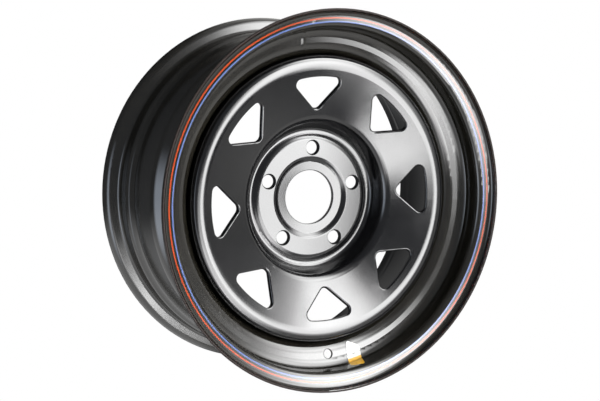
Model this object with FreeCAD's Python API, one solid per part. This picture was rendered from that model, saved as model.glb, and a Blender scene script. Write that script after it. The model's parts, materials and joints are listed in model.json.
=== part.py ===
# Pressed steel car wheel: a rolled rim with a pressed disc seated and stitch welded in its well.
# Millimetres. The axle line is Z, the outboard face looks along +Z, and the hub face is the plane Z = 0.
import FreeCAD, Part
import math
import os

V = FreeCAD.Vector
AXIS_POINT = V(0, 0, 0)
AXIS = V(0, 0, 1)
FULL_TURN = 360.0

# Share of a straight run that the two bends at its ends may take up
BEND_ROOM = 0.98

# Rim, 16 inch nominal by 7 inch, J flange
BEAD_SEAT_DIAMETER = 405.6
RIM_WIDTH = 177.8
WHEEL_OFFSET = 15.0
RIM_SHEET = 3.0
FLANGE_HEIGHT = 17.3
FLANGE_LEAN = 14.0
FLANGE_CURL_RADIUS = 9.5
FLANGE_CURL_SWEEP = 100.0
LIP_STRAIGHT = 0.3
LIP_EDGE_RADIUS = 1.2
BEAD_CORNER_RADIUS = 5.0
BEAD_SEAT_TAPER = 5.0
BEAD_SEAT_WIDTH = 17.5
HUMP_WIDTH = 7.0
HUMP_RISE = 1.2
HUMP_FOOT_RADIUS = 12.0
HUMP_TOP_RADIUS = 6.0
WELL_RADIUS = 172.5
WALL_TOP_LEAN = 46.0
WALL_BREAK_DROP = 6.8
WALL_BREAK_BEND = 19.0
WELL_WALL_LEAN = 14.5
WELL_OUTER_BEND = 16.0
WELL_FLOOR_WIDTH = 34.0
WELL_INNER_SLOPE = 38.0
WELL_INNER_BEND = 8.0
LEDGE_RADIUS = 195.0
LEDGE_TAPER = 1.2
LEDGE_BEND = 10.0
LEDGE_RISE_WIDTH = 6.0

# Disc
DISC_SHEET = 5.0
BORE_EDGE_RADIUS = 0.8
HUB_BORE_DIAMETER = 65.1
HUB_LAND_RADIUS = 43.8
HUB_LAND_FALL = 0.6
HUB_STEP_WIDTH = 4.8
HUB_STEP_BEND = 4.0
NUT_PAD_RISE = 2.8
NUT_PAD_OUTER_RADIUS = 72.6
PAD_INNER_BEND = 6.5
PAD_OUTER_BEND = 12.0
VALLEY_INNER_RADIUS = 76.9
VALLEY_OUTER_RADIUS = 84.0
VALLEY_BEND = 6.0
CROWN_FOOT_RADIUS = 93.2
CROWN_FOOT_HEIGHT = 28.3
CROWN_BEND = 13.0
CROWN_SLOPE = 14.8
CREST_RADIUS = 157.5
CREST_BEND = 32.0
SHOULDER_FALL = 6.0
SHOULDER_BEND = 7.5
DISC_FLANGE_LENGTH = 21.0
DISC_FIT_CLEARANCE = 0.05

# Holes
NUT_COUNT = 5
NUT_CIRCLE_DIAMETER = 120.0
NUT_HOLE_DIAMETER = 15.5
NUT_SEAT_DIAMETER = 18.8
NUT_SEAT_ANGLE = 60.0
NUT_PHASE = 90.0
WINDOW_COUNT = 8
WINDOW_PHASE = 5.7
WINDOW_OUTER_RADIUS = 143.8
WINDOW_INNER_RADIUS = 106.9
WINDOW_HALF_ANGLE = 44.5
WINDOW_CORNER_RADIUS = 6.5
WINDOW_TIP_RADIUS = 7.0
WINDOW_EDGE_RADIUS = 2.0
WINDOW_BACK_EDGE_RADIUS = 0.3
VALVE_HOLE_DIAMETER = 11.3
VALVE_HOLE_RISE = 15.5
VALVE_PHASE = 274.05

# Welds and label
WELD_LEG = 4.0
WELD_CROWN = 0.6
WELD_COUNT = 8
WELD_LENGTH = 62.0
WELD_PHASE = 28.2
SEAM_PHASE = 101.6
SEAM_WIDTH = 5.5
SEAM_RISE = 0.35
SEAM_END_GAP = 1.0
SEAM_DISC_GAP = 0.8
LABEL_PHASE = 283.6
LABEL_SLANT = 20.0
LABEL_WIDTH = 17.0
LABEL_HEIGHT = 30.0
LABEL_CORNER_RADIUS = 3.0
LABEL_THICKNESS = 0.15


def polar(radius, angle, z=0.0):
    a = math.radians(angle)
    return V(radius * math.cos(a), radius * math.sin(a), z)


def unit(a, b):
    d = (b[0] - a[0], b[1] - a[1])
    n = math.hypot(*d)
    return d[0] / n, d[1] / n


def turn_between(d1, d2):
    """Signed turn in radians from one direction to the next, positive to the left."""
    cross = d1[0] * d2[1] - d1[1] * d2[0]
    dot = d1[0] * d2[0] + d1[1] * d2[1]
    return math.atan2(cross, dot)


def eased(path):
    """The path with any bend that its straight runs are too short for made to fit them."""
    turns = [0.0]
    for a, b, c in zip(path, path[1:], path[2:]):
        turns.append(abs(turn_between(unit(a, b), unit(b, c))))
    turns.append(0.0)
    reach = [bend * math.tan(turn / 2) for (_, _, bend), turn in zip(path, turns)]
    fitted = []
    for i, (r, z, bend) in enumerate(path):
        share = 1.0
        for j in (i - 1, i + 1):
            if bend and 0 <= j < len(path):
                room = BEND_ROOM * math.dist(path[i][:2], path[j][:2])
                share = min(share, room / (reach[i] + reach[j]))
        fitted.append((r, z, bend * share))
    return fitted


def offset_path(path, distance):
    """The path a sheet's other face follows: distance to the right of a path of (r, z, bend radius)."""
    dirs = [unit(a, b) for a, b in zip(path, path[1:])]
    moved = []
    for i, (r, z, bend) in enumerate(path):
        d_in = dirs[max(i - 1, 0)]
        d_out = dirs[min(i, len(dirs) - 1)]
        turn = turn_between(d_in, d_out)
        half = math.atan2(d_in[1], d_in[0]) + turn / 2 - math.pi / 2
        reach = distance / math.cos(turn / 2)
        new_bend = max(bend + math.copysign(distance, turn), 0.0) if bend else 0.0
        moved.append((r + reach * math.cos(half), z + reach * math.sin(half), new_bend))
    return moved


def rounded_face(corners, place):
    """A face bounded by straight runs, with an arc of its own radius at each (u, v, radius) corner."""
    edges = []
    count = len(corners)
    ends = []
    for i, (u, v, radius) in enumerate(corners):
        here = (u, v)
        d_in = unit(corners[i - 1], here)
        d_out = unit(here, corners[(i + 1) % count])
        turn = turn_between(d_in, d_out)
        if not radius:
            ends.append((here, None, here))
            continue
        tangent = radius * math.tan(abs(turn) / 2)
        start = (u - d_in[0] * tangent, v - d_in[1] * tangent)
        end = (u + d_out[0] * tangent, v + d_out[1] * tangent)
        side = math.copysign(1.0, turn)
        centre = (start[0] - side * d_in[1] * radius, start[1] + side * d_in[0] * radius)
        out = unit(centre, here)
        mid = (centre[0] + out[0] * radius, centre[1] + out[1] * radius)
        ends.append((start, mid, end))
    for i, (start, mid, end) in enumerate(ends):
        if mid:
            edges.append(Part.Arc(place(*start), place(*mid), place(*end)).toShape())
        following = ends[(i + 1) % count][0]
        if math.dist(end, following) > 1e-6:
            edges.append(Part.LineSegment(place(*end), place(*following)).toShape())
    return Part.Face(Part.Wire(edges))


def in_section(r, z):
    return V(r, 0, z)


def sheet_section(path, thickness, first_edge, last_edge):
    """Section of a bent sheet whose first face follows the path and whose metal lies to its right."""
    other = offset_path(path, thickness)

    def with_edges(points):
        first, *inner, last = points
        return [(*first[:2], first_edge), *inner, (*last[:2], last_edge)]

    return rounded_face(with_edges(path) + with_edges(other)[::-1], in_section)


def turned(section, start=0.0, sweep=FULL_TURN):
    body = section.revolve(AXIS_POINT, AXIS, sweep)
    body.rotate(AXIS_POINT, AXIS, start)
    return body


def curl_centre_radius():
    return BEAD_SEAT_DIAMETER / 2 + FLANGE_HEIGHT - FLANGE_CURL_RADIUS


def flange_lip(seat_z, side):
    """Corner and end of a flange's curl. Its leaning wall is at seat_z level with the curl's centre.
    side is 1 outboard, -1 inboard."""
    sweep = math.radians(FLANGE_CURL_SWEEP)
    lean = math.radians(FLANGE_LEAN)
    tangent = FLANGE_CURL_RADIUS * math.tan((sweep - lean) / 2)
    corner_r = curl_centre_radius() + FLANGE_CURL_RADIUS * math.sin(lean) + tangent * math.cos(lean)
    corner_z = seat_z + side * (corner_r - curl_centre_radius()) * math.tan(lean)
    reach = tangent + LIP_STRAIGHT
    end = (corner_r + reach * math.cos(sweep), corner_z + side * reach * math.sin(sweep), 0.0)
    return (corner_r, corner_z, FLANGE_CURL_RADIUS), end


def bead_seat(seat_z, side):
    """Bead corner, the seat's inner end and the top of its hump, going in from the flange."""
    seat_radius = BEAD_SEAT_DIAMETER / 2
    taper = math.tan(math.radians(BEAD_SEAT_TAPER))
    lean = math.tan(math.radians(FLANGE_LEAN))
    corner_out = (seat_radius - curl_centre_radius()) * lean / (1 - taper * lean)
    end_radius = seat_radius - BEAD_SEAT_WIDTH * taper
    end_z = seat_z - side * BEAD_SEAT_WIDTH
    return [
        (seat_radius + corner_out * taper, seat_z + side * corner_out, BEAD_CORNER_RADIUS),
        (end_radius, end_z, HUMP_FOOT_RADIUS),
        (end_radius + HUMP_RISE, end_z - side * HUMP_WIDTH, HUMP_TOP_RADIUS),
    ]


def rim_path():
    """The tyre side of the rim, from the outboard lip to the inboard one."""
    outer_z = RIM_WIDTH / 2 - WHEEL_OFFSET
    inner_z = -RIM_WIDTH / 2 - WHEEL_OFFSET
    corner, end = flange_lip(outer_z, 1)
    outer_seat = bead_seat(outer_z, 1)
    hump_r, hump_z, _ = outer_seat[-1]
    break_r = hump_r - WALL_BREAK_DROP
    break_z = hump_z - WALL_BREAK_DROP * math.tan(math.radians(WALL_TOP_LEAN))
    floor_outer_z = break_z - (break_r - WELL_RADIUS) * math.tan(math.radians(WELL_WALL_LEAN))
    floor_inner_z = floor_outer_z - WELL_FLOOR_WIDTH
    ledge_z = floor_inner_z - (LEDGE_RADIUS - WELL_RADIUS) * math.tan(math.radians(WELL_INNER_SLOPE))
    inner_corner, inner_end = flange_lip(inner_z, -1)
    inner_seat = bead_seat(inner_z, -1)
    rise_z = inner_seat[-1][1] + LEDGE_RISE_WIDTH
    rise_r = LEDGE_RADIUS + (ledge_z - rise_z) * math.tan(math.radians(LEDGE_TAPER))
    return eased([
        end, corner, *outer_seat,
        (break_r, break_z, WALL_BREAK_BEND),
        (WELL_RADIUS, floor_outer_z, WELL_OUTER_BEND),
        (WELL_RADIUS, floor_inner_z, WELL_INNER_BEND),
        (LEDGE_RADIUS, ledge_z, LEDGE_BEND),
        (rise_r, rise_z, LEDGE_BEND),
        *inner_seat[::-1], inner_corner, inner_end,
    ])


def disc_path():
    """The outboard face of the disc, from the hub bore to the end of the flange that seats in the well."""
    face = DISC_SHEET
    return eased([
        (HUB_BORE_DIAMETER / 2, face, 0.0),
        (HUB_LAND_RADIUS, face, HUB_STEP_BEND),
        (HUB_LAND_RADIUS + HUB_STEP_WIDTH, face + NUT_PAD_RISE, PAD_INNER_BEND),
        (NUT_PAD_OUTER_RADIUS, face + NUT_PAD_RISE, PAD_OUTER_BEND),
        (VALLEY_INNER_RADIUS, face, VALLEY_BEND),
        (VALLEY_OUTER_RADIUS, face, VALLEY_BEND),
        (CROWN_FOOT_RADIUS, CROWN_FOOT_HEIGHT, CROWN_BEND),
        (CREST_RADIUS, crest_height(), CREST_BEND),
        (*shoulder_corner(), SHOULDER_BEND),
        (shoulder_corner()[0], disc_flange_end(), 0.0),
    ])


def crest_height():
    return CROWN_FOOT_HEIGHT + (CREST_RADIUS - CROWN_FOOT_RADIUS) * math.tan(math.radians(CROWN_SLOPE))


def shoulder_corner():
    """Where the disc's face, falling away from its crest, meets the line of its flange."""
    seat = WELL_RADIUS - RIM_SHEET - DISC_FIT_CLEARANCE
    return seat, crest_height() - (seat - CREST_RADIUS) * math.tan(math.radians(SHOULDER_FALL))


def disc_flange_end():
    shoulder_turn = math.radians(90 - SHOULDER_FALL)
    return shoulder_corner()[1] - SHOULDER_BEND * math.tan(shoulder_turn / 2) - DISC_FLANGE_LENGTH


def disc_seat_radius():
    return WELL_RADIUS - RIM_SHEET


def edges_between(shape, wanted):
    return [edge for edge in shape.Edges if wanted(edge)]


def upright(edge):
    a = edge.valueAt(edge.FirstParameter)
    b = edge.valueAt(edge.LastParameter)
    return math.hypot(a.x - b.x, a.y - b.y) < 1e-4


def window_tool():
    """Rounded triangle, point inward and its outer side curved about the axle, punched square to the crown."""
    lean = math.radians(CROWN_SLOPE)
    half = math.atan(math.tan(math.radians(WINDOW_HALF_ANGLE)) * math.cos(lean))
    outer = WINDOW_OUTER_RADIUS * math.cos(lean)
    height = (WINDOW_OUTER_RADIUS - WINDOW_INNER_RADIUS) / math.cos(lean)
    tip = outer - height - WINDOW_TIP_RADIUS * (1 / math.sin(half) - 1)
    side_angle = math.degrees(half - math.asin(tip * math.sin(half) / outer))
    depth = 2 * DISC_SHEET
    low = polar(outer, -side_angle, -depth)
    high = polar(outer, side_angle, -depth)
    point = polar(tip, 0.0, -depth)
    rims = [
        Part.Arc(low, polar(outer, 0.0, -depth), high).toShape(),
        Part.LineSegment(high, point).toShape(),
        Part.LineSegment(point, low).toShape(),
    ]
    tool = Part.Face(Part.Wire(rims)).extrude(V(0, 0, 2 * depth))
    corners = edges_between(tool, lambda e: upright(e) and e.Vertexes[0].X > outer - height)
    tool = tool.makeFillet(WINDOW_CORNER_RADIUS, corners)
    tips = edges_between(tool, lambda e: upright(e) and e.Vertexes[0].X < outer - height)
    tool = tool.makeFillet(WINDOW_TIP_RADIUS, tips)
    tool.translate(V(-outer, 0, 0))
    tool.rotate(V(0, 0, 0), V(0, 1, 0), -CROWN_SLOPE)
    rise = (WINDOW_OUTER_RADIUS - CROWN_FOOT_RADIUS) * math.tan(lean)
    tool.translate(V(WINDOW_OUTER_RADIUS, 0, CROWN_FOOT_HEIGHT + rise))
    return tool


def repeated(shape, count, phase):
    copies = []
    for i in range(count):
        one = shape.copy()
        one.rotate(AXIS_POINT, AXIS, phase + i * FULL_TURN / count)
        copies.append(one)
    return copies


def bore_mouth(edge):
    """True for the hub bore's edge on the outboard face."""
    point = edge.valueAt(edge.FirstParameter)
    radius = math.hypot(point.x, point.y)
    mouth = DISC_SHEET - HUB_LAND_FALL
    return abs(radius - HUB_BORE_DIAMETER / 2) < 1e-4 and abs(point.z - mouth) < 1e-4 and edge.Length > radius


def hub_land_tool():
    """What is pressed out of the hub land's front so that it falls toward the bore."""
    bore = HUB_BORE_DIAMETER / 2
    land = HUB_LAND_RADIUS - bend_reach(disc_path(), 1)
    corners = [
        in_section(bore / 2, DISC_SHEET - HUB_LAND_FALL),
        in_section(bore, DISC_SHEET - HUB_LAND_FALL),
        in_section(land, DISC_SHEET),
        in_section(bore / 2, DISC_SHEET),
    ]
    return turned(Part.Face(Part.makePolygon([*corners, corners[0]])))


def make_disc():
    body = turned(sheet_section(disc_path(), DISC_SHEET, 0.0, 0.0))
    body = body.cut(hub_land_tool())
    body = body.makeFillet(BORE_EDGE_RADIUS, edges_between(body, bore_mouth))
    body = body.cut(repeated(window_tool(), WINDOW_COUNT, WINDOW_PHASE))

    def window_rim(edge, front):
        faces = body.ancestorsOfType(edge, Part.Face)
        pressed = [face for face in faces if not punched_wall(face)]
        return len(faces) - len(pressed) == 1 and faces_front(pressed[0]) == front

    body = body.makeFillet(WINDOW_EDGE_RADIUS, edges_between(body, lambda edge: window_rim(edge, True)))
    body = body.makeFillet(WINDOW_BACK_EDGE_RADIUS, edges_between(body, lambda edge: window_rim(edge, False)))
    return body.cut(repeated(nut_hole_tool(), NUT_COUNT, NUT_PHASE))


def punched_wall(face):
    """True for a wall of a window, which unlike the pressed faces does not run round the axle."""
    kind = face.Surface
    return isinstance(kind, (Part.Plane, Part.Cylinder)) and abs(kind.Axis.z) < 1 - 1e-6


def faces_front(face):
    """True for a face that looks outboard."""
    u0, u1, v0, v1 = face.ParameterRange
    return face.normalAt((u0 + u1) / 2, (v0 + v1) / 2).z > 0


def nut_hole_tool():
    """Through hole with a conical nut seat, at angle zero."""
    face = DISC_SHEET + NUT_PAD_RISE
    hole = NUT_HOLE_DIAMETER / 2
    mouth = NUT_SEAT_DIAMETER / 2
    slope = math.tan(math.radians(NUT_SEAT_ANGLE / 2))
    depth = (mouth - hole) / slope
    place = V(NUT_CIRCLE_DIAMETER / 2, 0, 0)
    through = Part.makeCylinder(hole, face, place)
    seat = Part.makeCone(hole, mouth + depth * slope, 2 * depth, place + V(0, 0, face - depth))
    return through.fuse(seat)


def wall_normal():
    """Unit vector square to the front of the well wall below its break, leaving it outboard, at angle zero."""
    lean = math.radians(WELL_WALL_LEAN)
    return V(-math.sin(lean), 0, math.cos(lean))


def wall_point(radius):
    """The point of the well wall's front face at a radius below its break, at angle zero."""
    foot_r, foot_z, _ = front_path()[6]
    return V(radius, 0, foot_z + (radius - foot_r) * math.tan(math.radians(WELL_WALL_LEAN)))


def front_path():
    return offset_path(rim_path(), RIM_SHEET)


def make_rim():
    body = turned(sheet_section(rim_path(), RIM_SHEET, LIP_EDGE_RADIUS, LIP_EDGE_RADIUS))
    reach = 2 * RIM_SHEET
    start = wall_point(disc_seat_radius() + VALVE_HOLE_RISE) - wall_normal() * reach
    hole = Part.makeCylinder(VALVE_HOLE_DIAMETER / 2, 2 * reach, start, wall_normal())
    hole.rotate(AXIS_POINT, AXIS, VALVE_PHASE)
    return body.cut(hole)


def make_welds():
    """Fillet weld stitches in the corner between the disc's flange end and the rim's well."""
    seat = disc_seat_radius()
    end = disc_flange_end()
    foot = in_section(seat, end - WELD_LEG)
    toe = in_section(seat - WELD_LEG, end)
    bulge = WELD_LEG / 2 + WELD_CROWN / math.sqrt(2)
    crown = in_section(seat - bulge, end - bulge)
    corner = in_section(seat, end)
    sides = [
        Part.LineSegment(toe, corner).toShape(),
        Part.LineSegment(corner, foot).toShape(),
        Part.Arc(foot, crown, toe).toShape(),
    ]
    sweep = math.degrees(WELD_LENGTH / seat)
    stitch = turned(Part.Face(Part.Wire(sides)), -sweep / 2, sweep)
    return Part.makeCompound(repeated(stitch, WELD_COUNT, WELD_PHASE))


def bend_reach(path, i):
    """How far the bend at a corner of the path takes up its straight runs."""
    turn = turn_between(unit(path[i - 1], path[i]), unit(path[i], path[i + 1]))
    return path[i][2] * math.tan(abs(turn) / 2)


def run_between(path, first, last, gap):
    """The part of a path from a gap past the bend at one corner to a gap before the bend at another."""
    ends = []
    for corner, following in ((first, first + 1), (last, last - 1)):
        away = unit(path[corner], path[following])
        taken = bend_reach(path, corner)
        straight = math.dist(path[corner][:2], path[following][:2]) - taken - bend_reach(path, following)
        reach = taken + min(gap, straight / 2)
        ends.append((path[corner][0] + away[0] * reach, path[corner][1] + away[1] * reach, 0.0))
    return [ends[0], *path[first + 1:last], ends[1]]


def dressed_seam(path):
    """One low strip of weld lying on the front face along a run of its path."""
    sweep = math.degrees(SEAM_WIDTH / disc_seat_radius())
    section = sheet_section(path, SEAM_RISE, 0.0, 0.0)
    return turned(section, SEAM_PHASE - sweep / 2, sweep)


def make_seam():
    """Dressed butt weld where the rolled strip's two ends meet, flush under the disc's flange."""
    front = front_path()
    outboard = dressed_seam(run_between(front, 1, 7, SEAM_END_GAP))
    inboard = dressed_seam(run_between(front, 7, 13, SEAM_END_GAP))
    flush = Part.makeCylinder(disc_seat_radius() + SEAM_DISC_GAP, front[6][1] - front[7][1], V(0, 0, front[7][1]))
    return Part.makeCompound([outboard.cut(flush), inboard])


def make_label():
    """Thin label stuck in the corner between the well wall and the underside of the bead seat."""
    front = front_path()
    corner = V(front[4][0], 0, front[4][1])
    along = V(front[3][0], 0, front[3][1]) - corner
    along.normalize()
    wall = V(front[5][0], 0, front[5][1]) - corner
    wall.normalize()
    normal = along + wall
    normal.normalize()
    across = V(0, 1, 0)
    up = normal.cross(across)
    start = corner - normal * LABEL_HEIGHT
    half_w = LABEL_WIDTH / 2
    half_h = LABEL_HEIGHT / 2
    outline = [(u, v, LABEL_CORNER_RADIUS) for u, v in (
        (-half_w, -half_h), (half_w, -half_h), (half_w, half_h), (-half_w, half_h))]
    shape = rounded_face(outline, lambda u, v: start + across * u + up * v)
    shape.rotate(start, normal, -LABEL_SLANT)
    cutter = shape.extrude(normal * (2 * LABEL_HEIGHT))
    sweep = math.degrees(2 * (LABEL_WIDTH + LABEL_HEIGHT) / front[5][0])
    skin = turned(sheet_section(front[2:7], LABEL_THICKNESS, 0.0, 0.0), -sweep / 2, sweep)
    label = skin.common(cutter)
    label.rotate(AXIS_POINT, AXIS, LABEL_PHASE)
    return label


def main():
    os.makedirs("parts", exist_ok=True)
    pieces = {
        "rim": make_rim(),
        "wheel_disc": make_disc(),
        "disc_welds": make_welds(),
        "rim_seam": make_seam(),
        "label": make_label(),
    }
    for node, shape in pieces.items():
        shape.exportStep("parts/" + node + ".step")


main()
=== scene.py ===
import json
import math

import bmesh
import bpy
from bpy.props import FloatProperty, FloatVectorProperty, IntProperty, PointerProperty
from bpy.types import Operator, Panel, PropertyGroup
from mathutils import Matrix, Vector


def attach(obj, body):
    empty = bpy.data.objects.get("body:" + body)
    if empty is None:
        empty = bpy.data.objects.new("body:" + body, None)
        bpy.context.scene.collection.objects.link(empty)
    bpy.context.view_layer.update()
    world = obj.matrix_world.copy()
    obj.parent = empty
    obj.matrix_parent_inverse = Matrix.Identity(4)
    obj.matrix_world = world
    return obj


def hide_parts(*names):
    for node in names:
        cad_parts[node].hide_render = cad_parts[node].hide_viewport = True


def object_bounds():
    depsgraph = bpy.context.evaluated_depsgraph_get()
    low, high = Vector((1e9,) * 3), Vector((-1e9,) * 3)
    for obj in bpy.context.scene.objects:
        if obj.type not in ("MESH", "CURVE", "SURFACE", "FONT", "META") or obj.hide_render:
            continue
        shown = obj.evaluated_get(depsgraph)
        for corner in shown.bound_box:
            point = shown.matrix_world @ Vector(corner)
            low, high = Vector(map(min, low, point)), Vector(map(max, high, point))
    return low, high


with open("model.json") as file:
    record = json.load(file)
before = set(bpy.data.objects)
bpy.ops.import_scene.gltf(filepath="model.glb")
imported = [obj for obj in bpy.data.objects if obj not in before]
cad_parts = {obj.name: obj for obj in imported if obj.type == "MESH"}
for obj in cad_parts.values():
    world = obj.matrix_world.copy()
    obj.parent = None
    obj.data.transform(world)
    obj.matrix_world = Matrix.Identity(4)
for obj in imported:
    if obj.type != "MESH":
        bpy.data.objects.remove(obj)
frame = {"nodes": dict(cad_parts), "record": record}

bl_info = {
    "name": "Pressed steel wheel",
    "version": (1, 0, 0),
    "blender": (4, 5, 0),
    "location": "View3D > Sidebar > Steel wheel",
    "description": "Paint, welds, label and studio for a pressed steel car wheel",
    "category": "Object",
}

CAD_BOX = [list(corner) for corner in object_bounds()]
NODES = frame["nodes"]
MOUNTS = {mount["name"]: mount for mount in frame["record"]["mounts"]}
BODY = "root"

# Places on the wheel: metres from the axle and from the hub face, angles in degrees
WINDOW_PITCH = 45
WINDOW_ANGLE = 5.7
WINDOW_BAND = (0.103, 0.150)
WINDOW_FLOOR = 0.02
CROWN_SLOPE = 14.8
NUT_BAND = (0.049, 0.069)
NUT_CEILING = 0.009
VALVE_PLACE = Vector(MOUNTS["valve_hole"]["pos_m"])
VALVE_AXIS = Vector(MOUNTS["valve_hole"]["axis"])
VALVE_RADIUS = MOUNTS["valve_hole"]["dims"]["r_mm"] / 1000
VALVE_DEPTH = 0.004
VALVE_SLACK = 0.0001
LIP_WIDTH = 0.0005
RIM_MIDDLE = (CAD_BOX[0][2] + CAD_BOX[1][2]) / 2
LIP_REACH = (CAD_BOX[1][2] - CAD_BOX[0][2]) / 2 - LIP_WIDTH
STRIPE_FLOOR = 0.0742
WELL_FACE = 0.1695
WELD_HEIGHT = 0.01628

# Dull ring round the valve hole
BURR_WIDTH = 0.00045
BURR_RADIUS = VALVE_RADIUS + BURR_WIDTH
BURR_FADE = 0.0005
BURR_REACH = 0.012
BURR_ROUGHNESS = 0.65

# Noise scales: slow changes in the enamel, and the grain of the thin paint on cut edges
ENAMEL_DRIFT = 35.0
EDGE_GRAIN = 900.0
EDGE_GRAIN_DEPTH = 0.00004

# Heights of the label's coloured fields, and its surface
LABEL_FIELD = (0.0470, 0.0474)
LABEL_RULE = 0.0530
LABEL_RULE_EDGE = (0.0014, 0.0008)
LABEL_GRIME = 420.0
LABEL_CREASE = 260.0
LABEL_CREASE_DEPTH = 0.00008

# Mesh steps along a traced path, how the seam lies on the rim, and the bow of a stitch's ripples
BEND_STEP = 0.0006
LONGEST_EDGE = 0.0012
SEAM_FRONT_END = 0.0294
SEAM_SINK = 0.00006
SPOT_FLOOR = 0.07
RIPPLE_BOW = 0.0016


# Node trees

class Tree:
    """Short calls for building one node tree."""

    def __init__(self, data):
        data.use_nodes = True
        self.nodes = data.node_tree.nodes
        self.links = data.node_tree.links
        self.nodes.clear()

    def add(self, kind, values=None, **settings):
        node = self.nodes.new(kind)
        for key, value in settings.items():
            setattr(node, key, value)
        for key, value in (values or {}).items():
            self.feed(node.inputs[key], value)
        return node

    def feed(self, socket, value):
        if isinstance(value, bpy.types.NodeSocket):
            self.links.new(value, socket)
        else:
            socket.default_value = value

    def math(self, operation, a, b=0.0, c=0.0):
        node = self.add("ShaderNodeMath", operation=operation)
        for socket, value in zip(node.inputs, (a, b, c)):
            self.feed(socket, value)
        return node.outputs[0]

    def ramp(self, value, low, high, bottom=0.0, top=1.0):
        node = self.add("ShaderNodeMapRange", interpolation_type="SMOOTHSTEP")
        self.feed(node.inputs["Value"], value)
        self.feed(node.inputs["From Min"], low)
        self.feed(node.inputs["From Max"], high)
        self.feed(node.inputs["To Min"], bottom)
        self.feed(node.inputs["To Max"], top)
        return node.outputs["Result"]

    def noise(self, vector, scale, detail, roughness):
        values = {"Vector": vector, "Scale": scale, "Detail": detail, "Roughness": roughness}
        return self.add("ShaderNodeTexNoise", values).outputs["Fac"]

    def place(self):
        return self.add("ShaderNodeTexCoord").outputs["Object"]

    def split(self, vector):
        return self.add("ShaderNodeSeparateXYZ", {"Vector": vector}).outputs

    def vector(self, operation, a, b=(0.0, 0.0, 0.0)):
        node = self.add("ShaderNodeVectorMath", {0: a, 1: b}, operation=operation)
        return node.outputs["Value" if operation == "LENGTH" else "Vector"]

    def blend(self, factor, a, b):
        node = self.add("ShaderNodeMix", data_type="RGBA")
        self.feed(node.inputs["Factor"], factor)
        self.feed(node.inputs["A"], a)
        self.feed(node.inputs["B"], b)
        return node.outputs["Result"]


def opaque(colour):
    """A colour with full alpha."""
    return (colour[0], colour[1], colour[2], 1.0)


# Settings

class PaintSettings(PropertyGroup):
    """Black enamel and its pinstripes."""

    black: FloatVectorProperty(
        name="Disc black", description="Colour of the disc's enamel under its gloss",
        subtype="COLOR", size=3, min=0.0, max=1.0, default=(0.0016, 0.0016, 0.0018))
    rim_black: FloatVectorProperty(
        name="Rim black", description="Colour of the rim's enamel under its gloss, slightly olive",
        subtype="COLOR", size=3, min=0.0, max=1.0, default=(0.0062, 0.0056, 0.0042))
    roughness: FloatProperty(
        name="Roughness", description="Blur of the reflections in the enamel",
        subtype="FACTOR", min=0.0, max=1.0, default=0.12)
    edge: FloatVectorProperty(
        name="Cut edge", description="Colour of the thin, brownish paint on the strip's cut edges",
        subtype="COLOR", size=3, min=0.0, max=1.0, default=(0.0045, 0.0022, 0.0016))
    peel_size: FloatProperty(
        name="Peel size", description="Width of the ripples that spraying leaves in the enamel",
        subtype="DISTANCE", unit="LENGTH", default=0.0016)
    peel_depth: FloatProperty(
        name="Disc peel depth", description="Height of those ripples on the disc",
        subtype="DISTANCE", unit="LENGTH", default=0.000017)
    rim_peel_depth: FloatProperty(
        name="Rim peel depth", description="Height of those ripples on the rim",
        subtype="DISTANCE", unit="LENGTH", default=0.000003)
    red: FloatVectorProperty(
        name="Red stripe", description="Colour of the outer pinstripe",
        subtype="COLOR", size=3, min=0.0, max=1.0, default=(0.195, 0.023, 0.003))
    red_radius: FloatProperty(
        name="Red radius", description="Radius of the middle of the outer pinstripe",
        subtype="DISTANCE", unit="LENGTH", default=0.2098)
    blue: FloatVectorProperty(
        name="Blue stripe", description="Colour of the inner pinstripe",
        subtype="COLOR", size=3, min=0.0, max=1.0, default=(0.044, 0.067, 0.160))
    blue_radius: FloatProperty(
        name="Blue radius", description="Radius of the middle of the inner pinstripe",
        subtype="DISTANCE", unit="LENGTH", default=0.2056)
    stripe_offset: FloatProperty(
        name="Stripe offset", description="How far the stripes' centre lies from the axle, along X",
        subtype="DISTANCE", unit="LENGTH", default=0.0008)
    stripe_width: FloatProperty(
        name="Stripe width", description="Width of each pinstripe",
        subtype="DISTANCE", unit="LENGTH", default=0.0018)


class SeamSettings(PropertyGroup):
    """Butt weld of the rim strip."""

    angle: FloatProperty(
        name="Angle", description="Where the seam lies about the axle, in degrees", default=101.6)
    width: FloatProperty(
        name="Width", description="Width of the dressed bead at the well",
        subtype="DISTANCE", unit="LENGTH", default=0.0064)
    rise: FloatProperty(
        name="Rise", description="How far the bead stands out of the rim's face",
        subtype="DISTANCE", unit="LENGTH", default=0.00028)
    spot_radius: FloatProperty(
        name="Spot radius", description="Where on the front flange the weld left a swelling, from the axle",
        subtype="DISTANCE", unit="LENGTH", default=0.2069)
    spot_size: FloatProperty(
        name="Spot size", description="Half the width of that swelling",
        subtype="DISTANCE", unit="LENGTH", default=0.0027)
    spot_rise: FloatProperty(
        name="Spot rise", description="Height of that swelling",
        subtype="DISTANCE", unit="LENGTH", default=0.0004)


class WeldSettings(PropertyGroup):
    """Stitch welds behind the disc."""

    count: IntProperty(name="Count", description="Number of stitches", min=1, default=8)
    angle: FloatProperty(
        name="Angle", description="Where the first stitch lies about the axle, in degrees", default=28.2)
    length: FloatProperty(
        name="Length", description="Length of each stitch",
        subtype="DISTANCE", unit="LENGTH", default=0.062)
    leg: FloatProperty(
        name="Leg", description="Reach of the weld along the rim and along the disc",
        subtype="DISTANCE", unit="LENGTH", default=0.004)
    ripple: FloatProperty(
        name="Ripple", description="Distance between the ripples of a stitch",
        subtype="DISTANCE", unit="LENGTH", default=0.0034)


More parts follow.
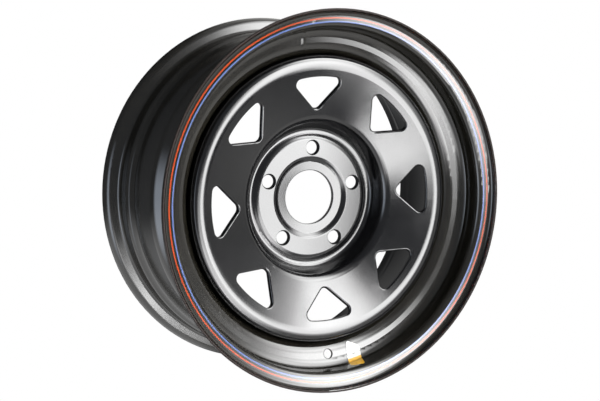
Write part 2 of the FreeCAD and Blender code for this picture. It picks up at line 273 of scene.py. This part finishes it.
class LabelSettings(PropertyGroup):
    """Plain foil label beside the valve hole."""

    pale: FloatVectorProperty(
        name="Pale field", description="Colour of the label's lower field where it is clean",
        subtype="COLOR", size=3, min=0.0, max=1.0, default=(0.40, 0.40, 0.38))
    worn_pale: FloatVectorProperty(
        name="Grimy pale field", description="Colour of the lower field where it is grimy",
        subtype="COLOR", size=3, min=0.0, max=1.0, default=(0.30, 0.30, 0.28))
    gold: FloatVectorProperty(
        name="Gold field", description="Colour of the label's upper field where it is clean",
        subtype="COLOR", size=3, min=0.0, max=1.0, default=(0.42, 0.23, 0.004))
    worn_gold: FloatVectorProperty(
        name="Grimy gold field", description="Colour of the upper field where it is grimy",
        subtype="COLOR", size=3, min=0.0, max=1.0, default=(0.26, 0.13, 0.002))
    rule: FloatVectorProperty(
        name="Rule", description="Colour of the dark rule across the gold field",
        subtype="COLOR", size=3, min=0.0, max=1.0, default=(0.035, 0.022, 0.006))


class StudioSettings(PropertyGroup):
    """Camera, floor and softboxes."""

    camera_place: FloatVectorProperty(
        name="Camera", description="Where the camera stands",
        subtype="TRANSLATION", unit="LENGTH", size=3, default=(-0.64422, 0.10104, 1.17501))
    camera_target: FloatVectorProperty(
        name="Target", description="Point at the middle of the picture",
        subtype="TRANSLATION", unit="LENGTH", size=3, default=(-0.03467, -0.00050, 0.045))
    camera_up: FloatVectorProperty(
        name="Up", description="Direction that points up in the picture",
        subtype="DIRECTION", size=3, default=(-0.0458, 1.0, 0.0))
    lens: FloatProperty(
        name="Lens", description="Focal length for a 36 mm wide picture",
        subtype="DISTANCE_CAMERA", unit="CAMERA", default=66.645)
    floor_colour: FloatVectorProperty(
        name="Floor", description="Colour of the floor",
        subtype="COLOR", size=3, min=0.0, max=1.0, default=(1.0, 1.0, 1.0))
    light: FloatProperty(
        name="Light", description="Brightness of all the light panels together",
        min=0.0, default=1.0)


# Materials

def enamel_surface(tree, paint, coords, black, depth):
    """Ripples and small changes of gloss of the black enamel: returns colour, roughness and normal."""
    peel = tree.noise(coords, 1.0 / paint.peel_size, 2.0, 0.55)
    drift = tree.noise(coords, ENAMEL_DRIFT, 2.0, 0.5)
    bump = tree.add("ShaderNodeBump", {"Strength": 1.0, "Distance": depth, "Height": peel})
    roughness = tree.ramp(drift, 0.3, 0.7, paint.roughness * 0.9, paint.roughness * 1.12)
    deeper = [0.75 * c for c in black]
    colour = tree.blend(tree.ramp(drift, 0.35, 0.65), opaque(deeper), opaque(black))
    return colour, roughness, bump.outputs["Normal"]


def valve_burr(tree, coords):
    """Roughness of the dull ring that deburring leaves round the valve hole, and none elsewhere."""
    away = tree.vector("SUBTRACT", coords, VALVE_PLACE)
    beside = tree.vector("LENGTH", tree.vector("CROSS_PRODUCT", away, VALVE_AXIS))
    near = tree.math("LESS_THAN", tree.vector("LENGTH", away), BURR_REACH)
    ring = tree.ramp(beside, BURR_RADIUS + BURR_FADE, BURR_RADIUS, 0.0, BURR_ROUGHNESS)
    return tree.math("MULTIPLY", ring, near)


def enamel(name, on_rim=False):
    """Black enamel; on the rim it is slightly olive, smoother and striped."""
    paint = bpy.context.scene.wheel_paint
    black = paint.rim_black if on_rim else paint.black
    depth = paint.rim_peel_depth if on_rim else paint.peel_depth
    material = bpy.data.materials.new(name)
    tree = Tree(material)
    coords = tree.place()
    colour, roughness, normal = enamel_surface(tree, paint, coords, black, depth)
    if on_rim:
        place = tree.split(tree.vector("SUBTRACT", coords, (paint.stripe_offset, 0.0, 0.0)))
        square_x = tree.math("MULTIPLY", place["X"], place["X"])
        square_y = tree.math("MULTIPLY", place["Y"], place["Y"])
        radius = tree.math("SQRT", tree.math("ADD", square_x, square_y))
        front = tree.math("GREATER_THAN", place["Z"], STRIPE_FLOOR)
        half = paint.stripe_width / 2
        for middle, tint in ((paint.red_radius, paint.red), (paint.blue_radius, paint.blue)):
            away = tree.math("ABSOLUTE", tree.math("SUBTRACT", radius, middle))
            band = tree.math("MULTIPLY", front, tree.ramp(away, half * 1.1, half * 0.85))
            colour = tree.blend(band, colour, opaque(tint))
        roughness = tree.math("MAXIMUM", roughness, valve_burr(tree, coords))
    shader = tree.add("ShaderNodeBsdfPrincipled", {
        "Base Color": colour, "Roughness": roughness, "Normal": normal, "IOR": 1.5})
    tree.add("ShaderNodeOutputMaterial", {"Surface": shader.outputs[0]})
    return material


def dull_black(name, tint):
    """Thin, dull paint on a cut or punched edge."""
    material = bpy.data.materials.new(name)
    tree = Tree(material)
    coords = tree.place()
    grain = tree.noise(coords, EDGE_GRAIN, 2.0, 0.5)
    colour = tree.blend(grain, opaque(tint), opaque([2 * c for c in tint]))
    bump = tree.add("ShaderNodeBump", {"Strength": 1.0, "Distance": EDGE_GRAIN_DEPTH, "Height": grain})
    shader = tree.add("ShaderNodeBsdfPrincipled", {
        "Base Color": colour, "Roughness": tree.ramp(grain, 0.3, 0.7, 0.5, 0.62), "IOR": 1.25,
        "Normal": bump.outputs["Normal"]})
    tree.add("ShaderNodeOutputMaterial", {"Surface": shader.outputs[0]})
    return material


def label_foil(name):
    """Plain foil in a pale and a gold field with one dark rule, slightly grimy and creased."""
    label = bpy.context.scene.wheel_label
    material = bpy.data.materials.new(name)
    tree = Tree(material)
    coords = tree.place()
    height = tree.split(coords)["Z"]
    grime = tree.ramp(tree.noise(coords, LABEL_GRIME, 3.0, 0.6), 0.3, 0.75)
    from_rule = tree.math("ABSOLUTE", tree.math("SUBTRACT", height, LABEL_RULE))
    pale = tree.blend(grime, opaque(label.pale), opaque(label.worn_pale))
    gold = tree.blend(grime, opaque(label.gold), opaque(label.worn_gold))
    gold = tree.blend(tree.ramp(from_rule, *LABEL_RULE_EDGE), gold, opaque(label.rule))
    colour = tree.blend(tree.ramp(height, *LABEL_FIELD), pale, gold)
    creases = tree.noise(coords, LABEL_CREASE, 1.0, 0.4)
    bump = tree.add("ShaderNodeBump", {"Strength": 1.0, "Distance": LABEL_CREASE_DEPTH, "Height": creases})
    shader = tree.add("ShaderNodeBsdfPrincipled", {
        "Base Color": colour, "Roughness": 0.42, "Normal": bump.outputs["Normal"]})
    tree.add("ShaderNodeOutputMaterial", {"Surface": shader.outputs[0]})
    return material


def wear(node, *materials, second=None):
    """Give a CAD node its finish; faces that the test second picks take the second material."""
    node.data.materials.clear()
    for material in materials:
        node.data.materials.append(material)
    if second:
        for face in node.data.polygons:
            face.material_index = 1 if second(face) else 0


def window_wall(face):
    """True for a face on the punched wall of a window, which is square to the crown there."""
    if not (WINDOW_BAND[0] < face.center.xy.length < WINDOW_BAND[1] and face.center.z > WINDOW_FLOOR):
        return False
    turn = math.degrees(math.atan2(face.center.y, face.center.x)) - WINDOW_ANGLE
    around = math.radians(WINDOW_ANGLE + WINDOW_PITCH * round(turn / WINDOW_PITCH))
    lean = math.radians(CROWN_SLOPE)
    punch = Vector((-math.sin(lean) * math.cos(around), -math.sin(lean) * math.sin(around), math.cos(lean)))
    return abs(face.normal.dot(punch)) < 0.2


def nut_wall(face):
    """True for a face on the wall of a nut hole."""
    on_pad = NUT_BAND[0] < face.center.xy.length < NUT_BAND[1] and face.center.z < NUT_CEILING
    return on_pad and abs(face.normal.z) < 0.6


def punched_wall(face):
    """True for a face of the disc that a punch cut."""
    return window_wall(face) or nut_wall(face)


def valve_wall(face):
    """True for a face on the wall of the valve hole."""
    away = face.center - VALVE_PLACE
    inside = away.cross(VALVE_AXIS).length < VALVE_RADIUS + VALVE_SLACK
    return inside and abs(away.dot(VALVE_AXIS)) < VALVE_DEPTH and abs(face.normal.dot(VALVE_AXIS)) < 0.5


def lip_edge(face):
    """True for a face on the cut edge of the strip, at the lip of either flange."""
    return abs(face.center.z - RIM_MIDDLE) > LIP_REACH


def bare_edge(face):
    """True for a face of the rim where the paint is thin."""
    return valve_wall(face) or lip_edge(face)


# Pieces modelled here

def trace(bm, corners):
    """Draw straight runs and round bends in the XZ plane; each corner is radius, height and bend."""
    points = [Vector((r, 0.0, z)) for r, z, bend in corners]
    last = bm.verts.new(points[0])
    for i in range(1, len(corners) - 1):
        ahead = (points[i] - points[i - 1]).normalized()
        after = (points[i + 1] - points[i]).normalized()
        turn = ahead.angle(after)
        bend = corners[i][2]
        last = drawn_to(bm, last, points[i] - ahead * bend * math.tan(turn / 2))
        axis = ahead.cross(after).normalized()
        arc = bmesh.ops.spin(
            bm, geom=[last], cent=last.co + axis.cross(ahead) * bend, axis=axis, angle=turn,
            steps=max(4, round(turn * bend / BEND_STEP)), use_merge=False, use_duplicate=False)
        last = next(item for item in arc["geom_last"] if isinstance(item, bmesh.types.BMVert))
    drawn_to(bm, last, points[-1])
    long_edges = [e for e in bm.edges if e.calc_length() > LONGEST_EDGE]
    bmesh.ops.subdivide_edges(bm, edges=long_edges, cuts=6)


def drawn_to(bm, vert, place):
    """Extrude the end of a path to a place."""
    new = bmesh.ops.extrude_vert_indiv(bm, verts=[vert])["verts"][0]
    bmesh.ops.translate(bm, verts=[new], vec=place - new.co)
    return new


def swept(bm, angle, sweep, steps):
    """Sweep all that is drawn round the axle, centred on an angle in degrees."""
    turn = Matrix.Rotation(math.radians(angle) - sweep / 2, 3, "Z")
    bmesh.ops.rotate(bm, cent=(0, 0, 0), matrix=turn, verts=bm.verts)
    geom = list(bm.verts) + list(bm.edges) + list(bm.faces)
    bmesh.ops.spin(bm, geom=geom, cent=(0, 0, 0), axis=(0, 0, 1), angle=sweep, steps=steps,
                   use_merge=False, use_duplicate=False)


def gathered(whole, bm):
    """Add one mesh to a whole and free it."""
    mesh = bpy.data.meshes.new("gathered")
    bm.to_mesh(mesh)
    bm.free()
    whole.from_mesh(mesh)
    bpy.data.meshes.remove(mesh)


def finished(bm, name, material, node):
    """Make a piece from the mesh so far; it rides on the wheel and stands for a CAD node."""
    bmesh.ops.recalc_face_normals(bm, faces=bm.faces)
    mesh = bpy.data.meshes.new(name)
    bm.to_mesh(mesh)
    bm.free()
    mesh.materials.append(material)
    for face in mesh.polygons:
        face.use_smooth = True
    piece = bpy.data.objects.new(name, mesh)
    bpy.context.scene.collection.objects.link(piece)
    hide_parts(node)
    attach(piece, BODY)


# Corners of the rim's inner face in front of the disc and behind it: radius, height and bend
FRONT_RUN = (
    (0.20955, 0.07674, 0.0), (0.19982, 0.07431, 0.008), (0.19825, 0.05628, 0.015), (0.19926, 0.05039, 0.003),
    (0.19410, 0.04505, 0.016), (WELL_FACE, 0.03869, 0.019), (WELL_FACE, 0.02300, 0.0))
BACK_RUN = (
    (WELL_FACE, 0.00960, 0.0), (WELL_FACE, 0.00090, 0.011), (0.19203, -0.01670, 0.007),
    (0.19325, -0.07470, 0.013), (0.19924, -0.08046, 0.003), (0.19825, -0.08628, 0.015),
    (0.19982, -0.10431, 0.008), (0.20955, -0.10674, 0.0))


def seam_bead(seam):
    """The rim strip's two ends, butt welded and dressed to a low round bead on the inner face."""
    whole = bmesh.new()
    sweep = seam.width / WELL_FACE
    for run, end in ((FRONT_RUN, SEAM_FRONT_END), (BACK_RUN, CAD_BOX[0][2])):
        bm = bmesh.new()
        trace(bm, run)
        path = list(bm.verts) + list(bm.edges)
        bmesh.ops.bisect_plane(bm, geom=path, plane_co=(0, 0, end), plane_no=(0, 0, -1), clear_outer=True)
        swept(bm, seam.angle, sweep, 24)
        raise_bead(bm, seam, sweep)
        gathered(whole, bm)
    return whole


def raise_bead(bm, seam, sweep):
    """Lift a swept strip of the rim's face into an uneven bead with its sides just under the face."""
    bmesh.ops.recalc_face_normals(bm, faces=bm.faces)
    bm.normal_update()
    middle = math.radians(seam.angle)
    heights = [v.co.z for v in bm.verts]
    top = max(heights)
    foot = min(heights)
    lifts = []
    for v in bm.verts:
        off = math.atan2(v.co.y, v.co.x) - middle
        across = 2 * off / sweep
        along = (v.co.z - foot) / (top - foot)
        uneven = 1.0 + 0.14 * math.sin(31 * along + 1.0) + 0.10 * math.sin(73 * along)
        dome = math.cos(0.5 * math.pi * min(1.0, abs(across))) ** 0.8
        ends = min(1.0, 14 * along + 0.1, 30 * (1 - along) + 0.1)
        radius = v.co.xy.length
        shown = Vector((-v.co.x, -v.co.y, 0.4 * radius))
        outward = v.normal if v.normal.dot(shown) > 0 else -v.normal
        spot = Vector((radius - seam.spot_radius, off * radius)).length / seam.spot_size
        swell = seam.spot_rise * math.cos(0.5 * math.pi * min(1.0, spot)) ** 2 if v.co.z > SPOT_FLOOR else 0.0
        lifts.append((v, outward * (seam.rise * dome * uneven * ends + swell - SEAM_SINK)))
    for v, lift in lifts:
        v.co += lift


def stitch_bead(bm, weld, angle):
    """One fillet stitch in the corner behind the disc's flange: three-sided, rippled, round at its ends."""
    corner = Vector((WELL_FACE, 0.0, WELD_HEIGHT))
    toe = corner - Vector((weld.leg, 0.0, 0.0))
    first = bm.verts.new(toe)
    arc = bmesh.ops.spin(bm, geom=[first], cent=corner, axis=(0, 1, 0), angle=-math.pi / 2, steps=10,
                         use_merge=False, use_duplicate=False)
    last = next(item for item in arc["geom_last"] if isinstance(item, bmesh.types.BMVert))
    drawn_to(bm, last, corner)
    bmesh.ops.remove_doubles(bm, verts=bm.verts, dist=1e-6)
    bmesh.ops.contextual_create(bm, geom=list(bm.verts))
    sweep = weld.length / WELL_FACE
    swept(bm, angle, sweep, 96)
    middle = math.radians(angle)
    for v in bm.verts:
        off = (math.atan2(v.co.y, v.co.x) - middle + math.pi) % (2 * math.pi) - math.pi
        along = off * WELL_FACE
        near = Vector((math.cos(middle + off) * WELL_FACE, math.sin(middle + off) * WELL_FACE, WELD_HEIGHT))
        arm = v.co - near
        if arm.length < 1e-6:
            continue
        tilt = math.atan2(WELD_HEIGHT - v.co.z, WELL_FACE - v.co.xy.length) / (math.pi / 2)
        bow = RIPPLE_BOW * (1 - (2 * tilt - 1) ** 2)
        ripple = abs(math.sin(math.pi * (along + bow) / weld.ripple))
        end = max(0.0, (abs(off) / (sweep / 2) - 0.92) / 0.08)
        flat = 1.0 - 0.22 * (1 - (2 * tilt - 1) ** 2)
        size = flat * (0.94 + 0.06 * ripple) * math.sqrt(max(0.03, 1 - end * end))
        v.co = near + arm * size


class WHEEL_OT_rim(Operator):
    """Paint the rolled rim black with its red and blue pinstripes"""
    bl_idname = "wheel.rim"
    bl_label = "Paint rim"

    def execute(self, context):
        edge = dull_black("cut_edge", context.scene.wheel_paint.edge)
        wear(NODES["rim"], enamel("rim_enamel", on_rim=True), edge, second=bare_edge)
        return {"FINISHED"}


class WHEEL_OT_disc(Operator):
    """Paint the pressed disc black, its punched edges dull"""
    bl_idname = "wheel.disc"
    bl_label = "Paint disc"

    def execute(self, context):
        edge = dull_black("punched_edge", context.scene.wheel_paint.black)
        wear(NODES["wheel_disc"], enamel("disc_enamel"), edge, second=punched_wall)
        return {"FINISHED"}


class WHEEL_OT_seam(Operator):
    """Model the rim's dressed butt weld, painted and striped with the rim"""
    bl_idname = "wheel.seam"
    bl_label = "Rim seam"

    def execute(self, context):
        bm = seam_bead(context.scene.wheel_seam)
        finished(bm, "seam_bead", enamel("seam_enamel", on_rim=True), "rim_seam")
        return {"FINISHED"}


class WHEEL_OT_welds(Operator):
    """Model the rippled stitch welds that hold the disc in the rim"""
    bl_idname = "wheel.welds"
    bl_label = "Stitch welds"

    def execute(self, context):
        weld = context.scene.wheel_weld
        whole = bmesh.new()
        for i in range(weld.count):
            bm = bmesh.new()
            stitch_bead(bm, weld, weld.angle + i * 360 / weld.count)
            gathered(whole, bm)
        finished(whole, "stitch_welds", enamel("weld_enamel"), "disc_welds")
        return {"FINISHED"}


class WHEEL_OT_label(Operator):
    """Colour the plain label beside the valve hole"""
    bl_idname = "wheel.label"
    bl_label = "Label"

    def execute(self, context):
        wear(NODES["label"], label_foil("label_foil"))
        return {"FINISHED"}


# Stage

WARM = (1.0, 0.99, 0.96)
PLAIN = (1.0, 1.0, 1.0)
COOL = (0.84, 0.94, 1.10)

# Dim room in the reflections: its level, how that changes along each axis, and the least of it
ROOM_LEVEL = 0.22
ROOM_CHANGE = {"X": -0.10, "Y": -0.10, "Z": 0.15}
ROOM_LEAST = 0.05
ROOM_TINT = (0.95, 0.985, 1.06)

FLOOR_HALF = 30.0

# Name, azimuth about the axle, angle off the axle, turn, width, height (degrees), feather across and along,
# brightness, distance in metres, colour.
PANELS = (
    ("key_upper_right", 42, 38, 57, 30, 65, 0.80, 1.00, 9.0, 2.30, PLAIN),
    ("key_overhead", 0, 25.5, 86, 20, 43, 0.60, 0.60, 18.5, 1.80, PLAIN),
    ("key_front", 281, 27, -99, 42, 29, 0.40, 0.70, 5.8, 4.00, PLAIN),
    ("fill_lower_left", 233, 90, 9, 90, 130, 0.55, 1.00, 1.8, 0.55, PLAIN),
    ("fill_lower_right", 311, 62, 6, 108, 64, 0.70, 0.65, 1.1, 0.72, WARM),
    ("strip_left", 191, 63, 81, 45, 59, 1.00, 0.75, 4.5, 0.88, COOL),
    ("fill_upper_right", 58, 65, -67, 115, 79, 0.60, 0.55, 0.9, 4.00, PLAIN),
    ("strip_lower_left", 248, 34, 81, 25, 47, 1.00, 0.65, 5.6, 2.00, PLAIN),
    ("bounce_right", 36, 103, -43, 108, 95, 0.75, 0.90, 1.8, 4.00, WARM),
    ("fill_front", 278, 23, 12, 36, 27, 0.45, 0.50, 8.0, 1.50, PLAIN),
    ("key_far_right", 50, 56, -79, 58, 50, 0.70, 0.80, 13.0, 3.80, PLAIN),
    ("key_right_front", 323, 20, 0, 15, 20, 0.30, 0.20, 5.5, 1.50, PLAIN),
    ("card_behind", 0, 180, 0, 112, 112, 0.30, 0.30, 0.5, 0.115, PLAIN),
)


def grid(name, half):
    """A square card in the XY plane."""
    mesh = bpy.data.meshes.new(name)
    bm = bmesh.new()
    bmesh.ops.create_grid(bm, x_segments=1, y_segments=1, size=half)
    bm.to_mesh(mesh)
    bm.free()
    card = bpy.data.objects.new(name, mesh)
    bpy.context.scene.collection.objects.link(card)
    return card


def softbox(name, azimuth, polar, turn, width, height, soft_x, soft_y, strength, distance, colour):
    """A feathered light panel facing the wheel, seen in reflections only."""
    a = math.radians(azimuth)
    p = math.radians(polar)
    out = Vector((math.sin(p) * math.cos(a), math.sin(p) * math.sin(a), math.cos(p)))
    round_axle = Vector((-math.sin(a), math.cos(a), 0.0))
    side = Matrix.Rotation(math.radians(turn), 3, out) @ round_axle
    up = out.cross(side)
    half_w = distance * math.tan(math.radians(width / 2))
    half_h = distance * math.tan(math.radians(height / 2))
    box = grid(name, 1.0)
    box.matrix_world = Matrix((
        (side.x * half_w, up.x * half_h, out.x, out.x * distance),
        (side.y * half_w, up.y * half_h, out.y, out.y * distance),
        (side.z * half_w, up.z * half_h, out.z, out.z * distance),
        (0.0, 0.0, 0.0, 1.0)))
    material = bpy.data.materials.new(name)
    tree = Tree(material)
    place = tree.split(tree.place())
    across = tree.ramp(tree.math("ABSOLUTE", place["X"]), 1.0, 1.0 - soft_x)
    along = tree.ramp(tree.math("ABSOLUTE", place["Y"]), 1.0, 1.0 - soft_y)
    level = bpy.context.scene.wheel_studio.light * strength
    power = tree.math("MULTIPLY", tree.math("MULTIPLY", across, along), level)
    glow = tree.add("ShaderNodeEmission", {"Color": opaque(colour), "Strength": power})
    clear = tree.add("ShaderNodeBsdfTransparent")
    both = tree.add("ShaderNodeAddShader", {0: glow.outputs[0], 1: clear.outputs[0]})
    tree.add("ShaderNodeOutputMaterial", {"Surface": both.outputs[0]})
    box.data.materials.append(material)
    box.visible_camera = False
    box.visible_shadow = False


def studio_floor(studio):
    """A pale floor under the wheel that the paint doesn't mirror."""
    floor = grid("floor", FLOOR_HALF)
    floor.location.z = CAD_BOX[0][2]
    material = bpy.data.materials.new("floor_card")
    tree = Tree(material)
    glow = tree.add("ShaderNodeEmission", {"Color": opaque(studio.floor_colour), "Strength": 1.0})
    tree.add("ShaderNodeOutputMaterial", {"Surface": glow.outputs[0]})
    floor.data.materials.append(material)
    floor.visible_glossy = False
    floor.visible_diffuse = False
    floor.visible_shadow = False


def studio_camera(studio):
    """A camera that looks from its place to its target."""
    data = bpy.data.cameras.new("camera")
    data.sensor_width = 36.0
    data.sensor_fit = "HORIZONTAL"
    data.lens = studio.lens
    data.clip_start = 0.01
    camera = bpy.data.objects.new("camera", data)
    bpy.context.scene.collection.objects.link(camera)
    place = Vector(studio.camera_place)
    ahead = (Vector(studio.camera_target) - place).normalized()
    right = ahead.cross(Vector(studio.camera_up)).normalized()
    up = right.cross(ahead)
    camera.matrix_world = Matrix((
        (right.x, up.x, -ahead.x, place.x),
        (right.y, up.y, -ahead.y, place.y),
        (right.z, up.z, -ahead.z, place.z),
        (0.0, 0.0, 0.0, 1.0)))
    bpy.context.scene.camera = camera


def studio_world():
    """White behind the wheel; in reflections a dim room, lighter above and towards -X and -Y."""
    world = bpy.data.worlds.new("studio")
    bpy.context.scene.world = world
    tree = Tree(world)
    way = tree.split(tree.add("ShaderNodeTexCoord").outputs["Generated"])
    level = ROOM_LEVEL
    for axis, change in ROOM_CHANGE.items():
        level = tree.math("MULTIPLY_ADD", way[axis], change, level)
    level = tree.math("MAXIMUM", level, ROOM_LEAST)
    seen = tree.add("ShaderNodeLightPath").outputs["Is Camera Ray"]
    colour = tree.blend(seen, opaque(ROOM_TINT), opaque(PLAIN))
    strength = tree.math("MAXIMUM", level, seen)
    back = tree.add("ShaderNodeBackground", {"Color": colour, "Strength": strength})
    tree.add("ShaderNodeOutputWorld", {"Surface": back.outputs[0]})


class WHEEL_OT_studio(Operator):
    """Set up the floor, softboxes and camera"""
    bl_idname = "wheel.studio"
    bl_label = "Studio"

    def execute(self, context):
        studio = context.scene.wheel_studio
        context.scene.view_settings.view_transform = "Standard"
        studio_world()
        studio_floor(studio)
        studio_camera(studio)
        for panel in PANELS:
            softbox(*panel)
        return {"FINISHED"}


class WHEEL_PT_panel(Panel):
    """Buttons for the pieces, and their settings"""
    bl_idname = "WHEEL_PT_panel"
    bl_label = "Steel wheel"
    bl_space_type = "VIEW_3D"
    bl_region_type = "UI"
    bl_category = "Steel wheel"

    def draw(self, context):
        for operator in STEPS:
            self.layout.operator(operator.bl_idname)
        for group in SETTINGS:
            settings = getattr(context.scene, group)
            box = self.layout.box()
            for name in settings.__annotations__:
                box.prop(settings, name)


STEPS = (WHEEL_OT_rim, WHEEL_OT_disc, WHEEL_OT_seam, WHEEL_OT_welds, WHEEL_OT_label, WHEEL_OT_studio)
SETTINGS = {
    "wheel_paint": PaintSettings,
    "wheel_seam": SeamSettings,
    "wheel_weld": WeldSettings,
    "wheel_label": LabelSettings,
    "wheel_studio": StudioSettings,
}
CLASSES = (*SETTINGS.values(), *STEPS, WHEEL_PT_panel)


def register():
    for cls in CLASSES:
        bpy.utils.register_class(cls)
    for group, kind in SETTINGS.items():
        setattr(bpy.types.Scene, group, PointerProperty(type=kind))


def unregister():
    for group in SETTINGS:
        delattr(bpy.types.Scene, group)
    for cls in reversed(CLASSES):
        bpy.utils.unregister_class(cls)


def main():
    register()
    bpy.ops.wheel.rim()
    bpy.ops.wheel.disc()
    bpy.ops.wheel.seam()
    bpy.ops.wheel.welds()
    bpy.ops.wheel.label()
    bpy.ops.wheel.studio()


if __name__ == "__main__":
    main()
